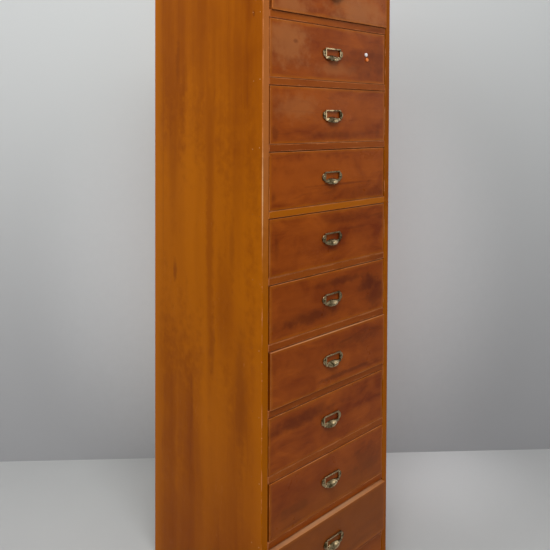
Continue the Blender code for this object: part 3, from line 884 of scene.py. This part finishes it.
class CHEST_OT_case(bpy.types.Operator):
    """Sides, top and back, with eased edges"""

    bl_idname = "paper_chest.case"
    bl_label = "Case boards"

    def execute(self, context):
        sizes = context.scene.paper_chest_boards
        colours = context.scene.paper_chest_colours
        upright = case_finish("Case wood, upright", "z", colours, side_patches(colours))
        across = case_finish("Case wood, across", "x", colours, ())
        sheet = sheet_finish("Back sheet", "z", colours, roughness=0.72, wear=0.2, dust=0.3)
        for node, name, material, edge in (
                ("side_panel_left", "left_side_board", upright, sizes.case_edge),
                ("side_panel_right", "right_side_board", upright, sizes.case_edge),
                ("top_board", "top_board_eased", across, sizes.case_edge * TOP_EDGE_SHARE),
                ("back_panel", "back_sheet", sheet, sizes.sheet_edge)):
            show_board(node, name, material, edge, SEEDS[node])
        return {"FINISHED"}


class CHEST_OT_rails(bpy.types.Operator):
    """Rails, bottom and plinth across the front, and the runners behind them"""

    bl_idname = "paper_chest.rails"
    bl_label = "Rails and runners"

    def execute(self, context):
        sizes = context.scene.paper_chest_boards
        colours = context.scene.paper_chest_colours
        rail = rail_finish(colours)
        runner = bare_finish("Bare wood, front to back", "y", colours)
        for index, node in enumerate(RAILS):
            seed = RAIL_SEED + RAIL_SEED_STEP * index
            show_board(node, f"rail_{index + 1:02d}", rail, sizes.rail_edge, seed)
        for node in ("bottom_board", "plinth_board"):
            show_board(node, f"{node}_eased", rail, sizes.rail_edge, SEEDS[node])
        for side in ("left", "right"):
            node = f"runner_ladder_{side}"
            show_board(node, f"runners_{side}", runner, sizes.inside_edge, SEEDS[node])
        return {"FINISHED"}


class CHEST_OT_drawers(bpy.types.Operator):
    """Drawer fronts, boxes and bottom sheets"""

    bl_idname = "paper_chest.drawers"
    bl_label = "Drawers"

    def execute(self, context):
        sizes = context.scene.paper_chest_boards
        colours = context.scene.paper_chest_colours
        front = front_finish(colours)
        lengthwise = bare_finish("Bare drawer sides", "y", colours)
        across = bare_finish("Bare drawer backs", "x", colours)
        sheet = sheet_finish("Drawer sheet", "x", colours, roughness=0.7, wear=0.1, dust=0.5)
        for index in range(len(DRAWERS)):
            tag = f"{index + 1:02d}"
            seed = DRAWER_SEED + DRAWER_SEED_STEP * index
            show_board(f"drawer_front_{tag}", f"front_{tag}", front, sizes.front_edge, seed)
            box = show_board(f"drawer_box_{tag}", f"box_{tag}", lengthwise, sizes.inside_edge,
                             seed + BOX_SEED_SHIFT)
            box.data.materials.append(across)
            back_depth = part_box(f"drawer_box_{tag}")[1].y - BOX_BACK_THICKNESS
            for face in box.data.polygons:
                if face.center.y > back_depth and abs(face.normal.x) < 0.5:
                    face.material_index = 1
            show_board(f"drawer_bottom_{tag}", f"bottom_sheet_{tag}", sheet, sizes.sheet_edge,
                       seed + BOTTOM_SEED_SHIFT)
        return {"FINISHED"}


class CHEST_OT_pulls(bpy.types.Operator):
    """A cast card frame and finger cup on each drawer, with two screws"""

    bl_idname = "paper_chest.pulls"
    bl_label = "Pulls and screws"

    def execute(self, context):
        sizes = context.scene.paper_chest_pulls
        brass = brass_material(context.scene.paper_chest_colours)
        turns = random.Random(SCREW_TURN_SEED)
        for number in range(1, len(DRAWERS) + 1):
            node = f"drawer_pull_{number:02d}"
            low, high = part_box(node)
            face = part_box(f"drawer_front_{number:02d}")[0].y
            reach = (high.x - low.x) / 2
            middle = Vector(((low.x + high.x) / 2, face, high.z - sizes.frame_height / 2))
            name = f"pull_{number:02d}"
            pull = show_for(node, name, finished_mesh(pull_form(sizes, reach, middle), name), brass)
            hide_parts(node)
            heads = []
            for side in (-1, 1):
                head = screw_form(sizes, turns.uniform(0.0, math.pi))
                across = side * (reach - sizes.ear_radius * SCREW_PLACE_SHARE)
                seat = Matrix.Translation((across, -sizes.gap - sizes.ear_depth + SCREW_LIFT, 0.0))
                lift = Matrix.Translation(middle) @ (seat @ STAND_UP)
                bmesh.ops.transform(head, matrix=lift, verts=head.verts)
                heads.append(head)
            name = f"pull_screws_{number:02d}"
            show_for(node, name, finished_mesh(join_forms(heads), name), brass)
        return {"FINISHED"}


def pull_form(sizes, reach, middle):
    """A whole pull: card frame, ears and cup, moved so that the frame's back lies against a point."""
    plate = pull_plate(sizes)
    ears = [ear_form(sizes, side, reach) for side in (-1, 1)]
    left_bar = -sizes.frame_width / 2 + sizes.bar
    # Painted highlight: the frame's left bar stays bright brass.
    rub_and_highlight_levels = ((plate, LEFT_BAR_HIGHLIGHT, FRAME_RUB), (ears[0], 0.0, 0.0), (ears[1], 0.0, 0.0))
    for flat, left_level, right_level in rub_and_highlight_levels:
        ease_face(flat, sizes.rim)
        mark_rub_and_highlight(flat, left_bar, left_bar + sizes.bar, left_level, right_level)
    casting = join_forms([plate] + ears)
    bmesh.ops.transform(casting, matrix=Matrix.Translation((0.0, -sizes.gap, 0.0)) @ STAND_UP,
                        verts=casting.verts)
    cup = cup_form(sizes)
    # Painted highlight: the cup's right half stays bright brass and its left half tarnished.
    mark_rub_and_highlight(cup, sizes.cup_half_width * CUP_HIGHLIGHT_START, sizes.cup_half_width * CUP_HIGHLIGHT_END, 0.0, 1.0)
    whole = join_forms([casting, cup])
    bmesh.ops.translate(whole, verts=whole.verts, vec=middle)
    return whole


class CHEST_OT_pins(bpy.types.Operator):
    """Two drawing pins pushed into one drawer front"""

    bl_idname = "paper_chest.pins"
    bl_label = "Drawing pins"

    def execute(self, context):
        colours = context.scene.paper_chest_colours
        for tint, rgb in (("white", colours.white_pin), ("orange", colours.orange_pin)):
            node = f"drawing_pin_{tint}"
            name = f"{tint}_pin"
            mesh = finished_mesh(pin_form(*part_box(node)), name)
            piece = show_for(node, name, mesh, enamel_material(f"{tint.capitalize()} enamel", rgb))
            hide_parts(node)
        return {"FINISHED"}


def pin_form(low, high):
    """A pin with a domed head and a pointed shank that fills a box from front to back."""
    radius = (high.x - low.x) / 2
    middle = (low + high) / 2
    form = bmesh.new()
    outline = [(share_out * radius, low.y + deep * PIN_HEAD_DEPTH) for share_out, deep in PIN_DOME]
    outline += [(PIN_SHANK_RADIUS, low.y + PIN_HEAD_DEPTH), (PIN_SHANK_RADIUS, high.y - PIN_POINT_LENGTH),
                (0.0, high.y)]
    points = [form.verts.new((out, y, 0.0)) for out, y in outline]
    edges = [form.edges.new(pair) for pair in zip(points, points[1:])]
    bmesh.ops.spin(form, geom=points + edges, cent=(0.0, 0.0, 0.0), axis=(0.0, 1.0, 0.0),
                   angle=2 * math.pi, steps=PIN_STEPS, use_merge=True)
    bmesh.ops.remove_doubles(form, verts=form.verts, dist=MERGE_DISTANCE)
    bmesh.ops.recalc_face_normals(form, faces=form.faces)
    bmesh.ops.translate(form, verts=form.verts, vec=(middle.x, 0.0, middle.z))
    return form


class CHEST_OT_nails(bpy.types.Operator):
    """Filled nails through the sides into the rails, and small nails round the back"""

    bl_idname = "paper_chest.nails"
    bl_label = "Nails"

    def execute(self, context):
        sizes = context.scene.paper_chest_boards
        colours = context.scene.paper_chest_colours
        filler = filler_material(colours)
        steel = steel_material(colours)
        scatter = random.Random(NAIL_SEED)
        along, up = SIDE_NAIL_STRAY
        for side, outer, turn in (("left", LEFT_LOW.x, -1), ("right", RIGHT_HIGH.x, 1)):
            form = bmesh.new()
            facing = Matrix.Rotation(turn * math.pi / 2, 4, "Y")
            for node in RAILS:
                low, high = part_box(node)
                for back in (sizes.nail_inset, sizes.nail_inset + SIDE_NAIL_PITCH):
                    depth = CASE_FRONT + back + scatter.uniform(-along, along)
                    height = (low.z + high.z) / 2 + scatter.uniform(-up, up)
                    place = Vector((outer - turn * NAIL_SUNK, depth, height))
                    disc(form, sizes.nail_radius, SIDE_NAIL_HEIGHT, Matrix.Translation(place) @ facing)
            name = f"side_nails_{side}"
            show(name, finished_mesh(form, name), filler, "case")
        form = bmesh.new()
        facing = Matrix.Rotation(-math.pi / 2, 4, "X")
        rise = BACK_HIGH.z - BACK_LOW.z - 2 * BACK_NAIL_MARGIN
        aside, up = BACK_NAIL_STRAY
        for x in (BACK_LOW.x + BACK_NAIL_INSET, BACK_HIGH.x - BACK_NAIL_INSET):
            for step in range(BACK_NAIL_SPACES + 1):
                height = BACK_LOW.z + BACK_NAIL_MARGIN + step * rise / BACK_NAIL_SPACES
                place = Vector((x + scatter.uniform(-aside, aside), BACK_HIGH.y - NAIL_SUNK,
                                height + scatter.uniform(-up, up)))
                disc(form, sizes.nail_radius, BACK_NAIL_HEIGHT, Matrix.Translation(place) @ facing)
        show("back_nails", finished_mesh(form, "back_nails"), steel, "case")
        return {"FINISHED"}


# Finishes

def case_finish(name, grain, colours, patches):
    """Honey-coloured polished wood."""
    return wood_material(colours, name, grain, colours.case_light, colours.case_dark, colours.case_streak,
                         bands=16.0, mottle=0.25, lines=0.22, pores=0.18, roughness=0.42, smears=0.22,
                         specular=0.05, sheen=(1.0, 0.40, 0.00), wear=0.7, wear_reach=0.0016, dust=0.25,
                         patches=patches)


def side_patches(colours):
    """Knots and bands on the left side, painted shade low down, a painted highlight along the front corner
    over some wear, and a painted sheen on the upper front edge, as (centre, reach, strength, raggedness,
    colour).
    """
    left = LEFT_LOW.x
    front = CASE_FRONT
    rear = LEFT_HIGH.y
    dark = colours.case_dark
    light = colours.case_light
    streak = colours.case_streak
    return (
        ((left, front + 0.30, 0.975), (1.0, 0.45, 0.42), 0.60, 1.5, light),
        # Painted shade: the side darkens towards the bottom.
        ((left, front + 0.25, 0.125), (1.0, 0.60, 0.35), 0.35, 1.5, dark),
        ((left, front, 0.575), (1.0, 0.070, 0.60), 0.60, 0.6, light),
        ((left, front + 0.190, 0.525), (1.0, 0.100, 0.35), 0.45, 0.8, light),
        ((left, front + 0.212, 1.025), (1.0, 0.022, 0.55), 0.50, 1.2, dark),
        ((left, front + 0.150, 0.825), (1.0, 0.050, 0.15), 0.40, 1.5, dark),
        ((left, rear, 0.925), (1.0, 0.050, 2.50), 0.75, 0.1, light),
        ((left, rear - 0.046, 1.225), (1.0, 0.0022, 0.55), 0.45, 0.6, streak),
        ((left, rear - 0.100, 1.275), (1.0, 0.030, 0.40), 0.40, 0.8, dark),
        ((left, front + 0.310, 1.075), (1.0, 0.035, 0.50), 0.45, 0.8, light),
        ((left, front + 0.095, 1.275), (1.0, 0.028, 0.45), 0.30, 0.8, dark),
        ((left, front + 0.380, 0.875), (1.0, 0.012, 0.035), 0.60, 1.5, streak),
        ((left, front + 0.365, 1.465), (1.0, 0.014, 0.07), 0.45, 1.5, streak),
        ((left, front + 0.034, 1.555), (1.0, 0.005, 0.009), 0.70, 1.0, streak),
        ((left, front + 0.117, 0.975), (1.0, 0.014, 0.10), 0.35, 1.5, streak),
        ((left, front + 0.080, 0.625), (1.0, 0.030, 0.20), 0.50, 1.5, streak),
        ((left, front + 0.200, 0.705), (1.0, 0.016, 0.09), 0.40, 1.5, streak),
        # Painted highlight along the near front corner's arris, over some real wear.
        ((left, front, 1.125), (0.0026, 0.0026, 0.170), 1.00, 0.5, colours.scuff_and_highlight),
        # Painted sheen on the upper front edge of the left side.
        ((left + 0.010, front, 1.375), (0.030, 0.004, 0.500), 0.35, 0.3, colours.worn_edge_and_highlight),
    )


# The names of the patches' colours
# Painted sheen: patches of this colour stand in for reflections on the upper fronts.
PAINTED_SHEEN = "front_painted_sheen"
DARK = "front_streak"
PALE = "front_light"

# Patches of the drawer fronts, the sheen ones painted reflections: drawer, across and up from the front's
# middle, half width and half height, strength, and the name of its colour
FRONT_PATCHES = (
    (1, 0.100, -0.040, 0.140, 0.060, 0.65, PAINTED_SHEEN),
    (1, -0.160, -0.050, 0.090, 0.040, 0.65, PAINTED_SHEEN),
    (2, -0.160, 0.020, 0.090, 0.070, 0.65, PAINTED_SHEEN),
    (2, 0.010, -0.040, 0.100, 0.020, 0.40, PAINTED_SHEEN),
    (2, 0.190, 0.000, 0.050, 0.070, 0.35, DARK),
    (2, -0.132, 0.022, 0.010, 0.007, 0.45, DARK),
    (2, 0.120, -0.020, 0.090, 0.050, 0.35, DARK),
    (3, -0.202, -0.045, 0.014, 0.026, 0.40, DARK),
    (3, 0.020, -0.052, 0.160, 0.012, 0.35, DARK),
    (3, 0.190, -0.045, 0.014, 0.024, 0.35, DARK),
    (3, -0.130, 0.020, 0.090, 0.040, 0.40, PAINTED_SHEEN),
    (3, 0.130, 0.000, 0.090, 0.045, 0.45, PALE),
    (4, -0.080, 0.010, 0.240, 0.060, 0.50, PALE),
    (4, 0.150, -0.056, 0.160, 0.034, 0.30, DARK),
    (4, -0.204, -0.038, 0.010, 0.014, 0.45, DARK),
    (4, 0.040, -0.021, 0.150, 0.004, 0.45, DARK),
    (4, -0.050, 0.035, 0.200, 0.026, 0.35, PALE),
    (5, -0.195, -0.010, 0.010, 0.045, 0.35, DARK),
    (5, -0.170, -0.030, 0.070, 0.040, 0.40, PALE),
    (5, 0.110, -0.022, 0.065, 0.030, 0.45, PALE),
    (4, -0.200, 0.000, 0.050, 0.060, 0.45, PALE),
    (5, -0.060, 0.010, 0.090, 0.050, 0.45, PALE),
    (6, -0.215, 0.000, 0.030, 0.060, 0.50, PALE),
    (5, 0.060, 0.045, 0.110, 0.016, 0.35, DARK),
    (6, 0.150, 0.013, 0.050, 0.030, 0.70, DARK),
    (6, 0.180, -0.020, 0.045, 0.055, 0.55, DARK),
    (6, -0.090, -0.034, 0.130, 0.020, 0.60, DARK),
    (6, 0.040, 0.040, 0.120, 0.014, 0.55, DARK),
    (6, -0.150, 0.020, 0.090, 0.040, 0.45, PALE),
    (7, -0.192, 0.019, 0.012, 0.018, 0.35, PALE),
    (7, 0.060, -0.050, 0.170, 0.008, 0.55, DARK),
    (7, 0.100, 0.030, 0.120, 0.020, 0.40, DARK),
    (8, -0.100, 0.035, 0.150, 0.022, 0.50, DARK),
    (8, 0.120, -0.020, 0.060, 0.020, 0.35, PALE),
    (9, 0.140, -0.003, 0.075, 0.055, 0.45, DARK),
    (9, -0.130, -0.025, 0.070, 0.020, 0.40, DARK),
    (10, 0.120, -0.050, 0.060, 0.010, 0.45, DARK),
)

# Painted highlights along the lit top edges of drawer fronts: drawer, reach and strength
LIT_TOP_HIGHLIGHTS = ((7, (0.300, 0.006, 0.0016), 0.90), (10, (0.320, 0.030, 0.0020), 0.60))


def front_patches(colours):
    """The drawer fronts' patches, with painted sheen on the upper fronts and painted highlights along two
    lit top edges, as (centre, reach, strength, raggedness, colour).
    """
    found = []
    for number, across, up, half_width, half_height, strength, tint in FRONT_PATCHES:
        low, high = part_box(f"drawer_front_{number:02d}")
        centre = ((low.x + high.x) / 2 + across, low.y, (low.z + high.z) / 2 + up)
        found.append((centre, (half_width, 1.0, half_height), strength, 1.5, getattr(colours, tint)))
    low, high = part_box("drawer_front_10")
    found.append(((low + high) / 2, (0.60, 1.0, 0.20), 0.60, 0.3, colours.front_brown))
    for number, reach, strength in LIT_TOP_HIGHLIGHTS:
        low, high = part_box(f"drawer_front_{number:02d}")
        found.append((((low.x + high.x) / 2, low.y, high.z), reach, strength, 0.5, colours.scuff_and_highlight))
    return found


def rail_finish(colours):
    """Redder polished wood with its grain across the chest, and one rail paler than the rest."""
    low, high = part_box("front_rail_04")
    pale = ((low + high) / 2, (0.60, 0.20, 0.03), 0.80, 0.4, colours.case_light)
    # The rails' wide pale edge wear also paints the highlight along their lit top arrises.
    return wood_material(colours, "Rail wood", "x", colours.rail_light, colours.rail_dark,
                         colours.front_streak, bands=30.0, mottle=0.5, lines=0.3, pores=0.2, roughness=0.36,
                         smears=0.25, specular=0.18, sheen=(1.0, 0.50, 0.16), wear=0.6, wear_reach=0.0019,
                         wear_evenness=0.9, dust=0.2, patches=[pale])


def front_finish(colours):
    """Dark red-brown figured wood under an old gloss."""
    return wood_material(colours, "Front wood", "x", colours.front_light, colours.front_dark,
                         colours.front_streak, bands=20.0, mottle=2.0, lines=0.25, pores=0.22,
                         roughness=0.33, smears=0.30, specular=0.24, sheen=(1.0, 0.50, 0.18), wear=0.6,
                         wear_reach=0.0011, wear_evenness=0.6, fade=0.4, dust=0.2, tone_spread=0.5,
                         patches=front_patches(colours))


def bare_finish(name, grain, colours):
    """Unfinished pale wood."""
    return wood_material(colours, name, grain, colours.bare_light, colours.bare_dark, colours.case_dark,
                         bands=24.0, mottle=0.3, lines=0.5, pores=0.3, roughness=0.7, smears=0.15,
                         specular=0.2, wear=0.2, dust=0.5)


def sheet_finish(name, grain, colours, roughness, wear, dust):
    """Thin sheet for the back and the drawer bottoms."""
    return wood_material(colours, name, grain, colours.sheet_light, colours.sheet_dark, colours.case_dark,
                         bands=9.0, mottle=0.4, lines=0.4, pores=0.3, roughness=roughness, smears=0.15,
                         specular=0.2, wear=wear, dust=dust)


class CHEST_OT_stage(bpy.types.Operator):
    """Floor, wall, lights and camera"""

    bl_idname = "paper_chest.stage"
    bl_label = "Stage"

    def execute(self, context):
        stage = context.scene.paper_chest_stage
        context.scene.view_settings.view_transform = "Standard"
        make_floor(stage)
        make_wall(stage)
        make_sky(context.scene, stage)
        middle = Vector((0.0, 0.0, CHEST_HEIGHT * LIT_HEIGHT_SHARE))
        for name, location, size, power in LIGHTS:
            make_light(name, location, middle, size, getattr(stage, power))
        make_camera(context.scene, stage)
        return {"FINISHED"}


def make_floor(stage):
    """A wide pale floor, with a painted pool of light to the right of the chest."""
    form = bmesh.new()
    bmesh.ops.create_grid(form, x_segments=1, y_segments=1, size=FLOOR_HALF_WIDTH)
    floor = add_object("floor", finished_mesh(form, "floor"))
    made, nodes, shader = new_surface("Studio floor", Specular_IOR_Level=0.2)
    place = nodes.place()
    cloud = nodes.noise(place, 1.3, 3.0)
    tint = nodes.blend(nodes.ramp(cloud, 0.3, 0.7, 0.0, 0.25), stage.floor_colour, stage.wall_low)
    lit = nodes.patch(place, FLOOR_GLOW_CENTRE, *FLOOR_GLOW)
    nodes.put(shader["Base Color"], nodes.blend(lit, tint, stage.glow))
    nodes.put(shader["Roughness"], nodes.ramp(cloud, 0.2, 0.8, 0.5, 0.7))
    floor.data.materials.append(made)


def make_wall(stage):
    """A wall behind the chest, seen only from its front, darkened towards the floor as painted shade and
    with a painted pool of light low behind the chest.
    """
    sight = Vector((math.sin(stage.turn), math.cos(stage.turn), 0.0)) * stage.wall_distance
    across = Vector((math.cos(stage.turn), -math.sin(stage.turn), 0.0))
    form = bmesh.new()
    bmesh.ops.create_grid(form, x_segments=1, y_segments=1, size=0.5)
    bmesh.ops.scale(form, vec=(WALL_WIDTH, WALL_HEIGHT, 1.0), verts=form.verts)
    bmesh.ops.transform(form, matrix=STAND_UP, verts=form.verts)
    bmesh.ops.rotate(form, verts=form.verts, matrix=Matrix.Rotation(stage.wall_turn - stage.turn, 3, "Z"))
    bmesh.ops.translate(form, verts=form.verts, vec=sight + Vector((0.0, 0.0, WALL_HEIGHT / 2)))
    wall = add_object("wall", finished_mesh(form, "wall"))
    made, nodes, shader = new_surface("Studio wall", Specular_IOR_Level=0.1, Roughness=0.9)
    place = nodes.place()
    height = nodes.add("SeparateXYZ", {"Vector": place}).outputs["Z"]
    # Painted shade: the wall darkens from the chest's top down towards the floor.
    rise = nodes.ramp(height, WALL_SHADE_START, CHEST_HEIGHT)
    lightest = sight + across * WALL_GLOW_ASIDE + Vector((0.0, 0.0, WALL_GLOW_HEIGHT))
    lit = nodes.patch(place, lightest, *WALL_GLOW)
    graded = nodes.blend(rise, stage.wall_low, stage.wall_high)
    nodes.put(shader["Base Color"], nodes.blend(lit, graded, stage.glow))
    behind = nodes.add("NewGeometry").outputs["Backfacing"]
    clear = nodes.add("BsdfTransparent").outputs["BSDF"]
    surface = made.node_tree.nodes["Principled BSDF"].outputs["BSDF"]
    mixed = nodes.add("MixShader")
    for index, value in enumerate((behind, surface, clear)):
        nodes.put(mixed.inputs[index], value)
    nodes.put(made.node_tree.nodes["Material Output"].inputs["Surface"], mixed.outputs[0])
    wall.data.materials.append(made)


def make_sky(scene, stage):
    """Even light from all round."""
    scene.world = bpy.data.worlds.new("Studio")
    scene.world.use_nodes = True
    nodes = Nodes(scene.world.node_tree)
    sky = scene.world.node_tree.nodes["Background"].inputs
    nodes.put(sky["Color"], stage.sky)
    nodes.put(sky["Strength"], stage.sky_strength)


def make_light(name, location, target, size, power):
    """A soft rectangular light that faces a point."""
    lamp = bpy.data.lights.new(name, "AREA")
    lamp.shape = "RECTANGLE"
    lamp.size, lamp.size_y = size
    lamp.energy = power
    holder = add_object(name, lamp)
    holder.location = location
    holder.rotation_euler = (target - Vector(location)).to_track_quat("-Z", "Y").to_euler()


def make_camera(scene, stage):
    """The camera, standing off the near corner of the case."""
    lens = bpy.data.cameras.new("Camera")
    lens.lens = stage.lens
    lens.shift_y = stage.shift
    lens.clip_start = NEAREST_SEEN
    camera = add_object("Camera", lens)
    ahead = Vector((math.sin(stage.turn) * math.cos(stage.dip), math.cos(stage.turn) * math.cos(stage.dip),
                    -math.sin(stage.dip)))
    level = Vector((math.cos(stage.turn), -math.sin(stage.turn), 0.0))
    upward = level.cross(ahead)
    right = math.cos(stage.roll) * level + math.sin(stage.roll) * upward
    upward = right.cross(ahead)
    camera.rotation_euler = Matrix((right, upward, -ahead)).transposed().to_euler()
    camera.location = (LEFT_LOW.x - stage.stand_left, CASE_FRONT - stage.stand_ahead, stage.stand_height)
    scene.camera = camera


class CHEST_PT_panel(bpy.types.Panel):
    """Lists the chest's pieces"""

    bl_idname = "CHEST_PT_panel"
    bl_label = "Paper Drawer Chest"
    bl_space_type = "VIEW_3D"
    bl_region_type = "UI"
    bl_category = "Paper Chest"

    def draw(self, context):
        for step in STEPS:
            self.layout.operator(step.bl_idname)


STEPS = (CHEST_OT_case, CHEST_OT_rails, CHEST_OT_drawers, CHEST_OT_pulls, CHEST_OT_pins, CHEST_OT_nails,
         CHEST_OT_stage)
SETTINGS = {
    "paper_chest_boards": BoardSizes,
    "paper_chest_pulls": PullSizes,
    "paper_chest_colours": ChestColours,
    "paper_chest_stage": StageSettings,
}


def register():
    """Adds the settings, the operators and the panel."""
    for name, group in SETTINGS.items():
        bpy.utils.register_class(group)
        setattr(bpy.types.Scene, name, PointerProperty(type=group))
    for step in STEPS:
        bpy.utils.register_class(step)
    bpy.utils.register_class(CHEST_PT_panel)


def unregister():
    """Removes the panel, the operators and the settings."""
    bpy.utils.unregister_class(CHEST_PT_panel)
    for step in reversed(STEPS):
        bpy.utils.unregister_class(step)
    for name, group in reversed(SETTINGS.items()):
        delattr(bpy.types.Scene, name)
        bpy.utils.unregister_class(group)


def main():
    """Builds the looks of the whole chest and its stage."""
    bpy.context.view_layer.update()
    register()
    bpy.ops.paper_chest.case()
    bpy.ops.paper_chest.rails()
    bpy.ops.paper_chest.drawers()
    bpy.ops.paper_chest.pulls()
    bpy.ops.paper_chest.pins()
    bpy.ops.paper_chest.nails()
    bpy.ops.paper_chest.stage()


if __name__ == "__main__":
    main()
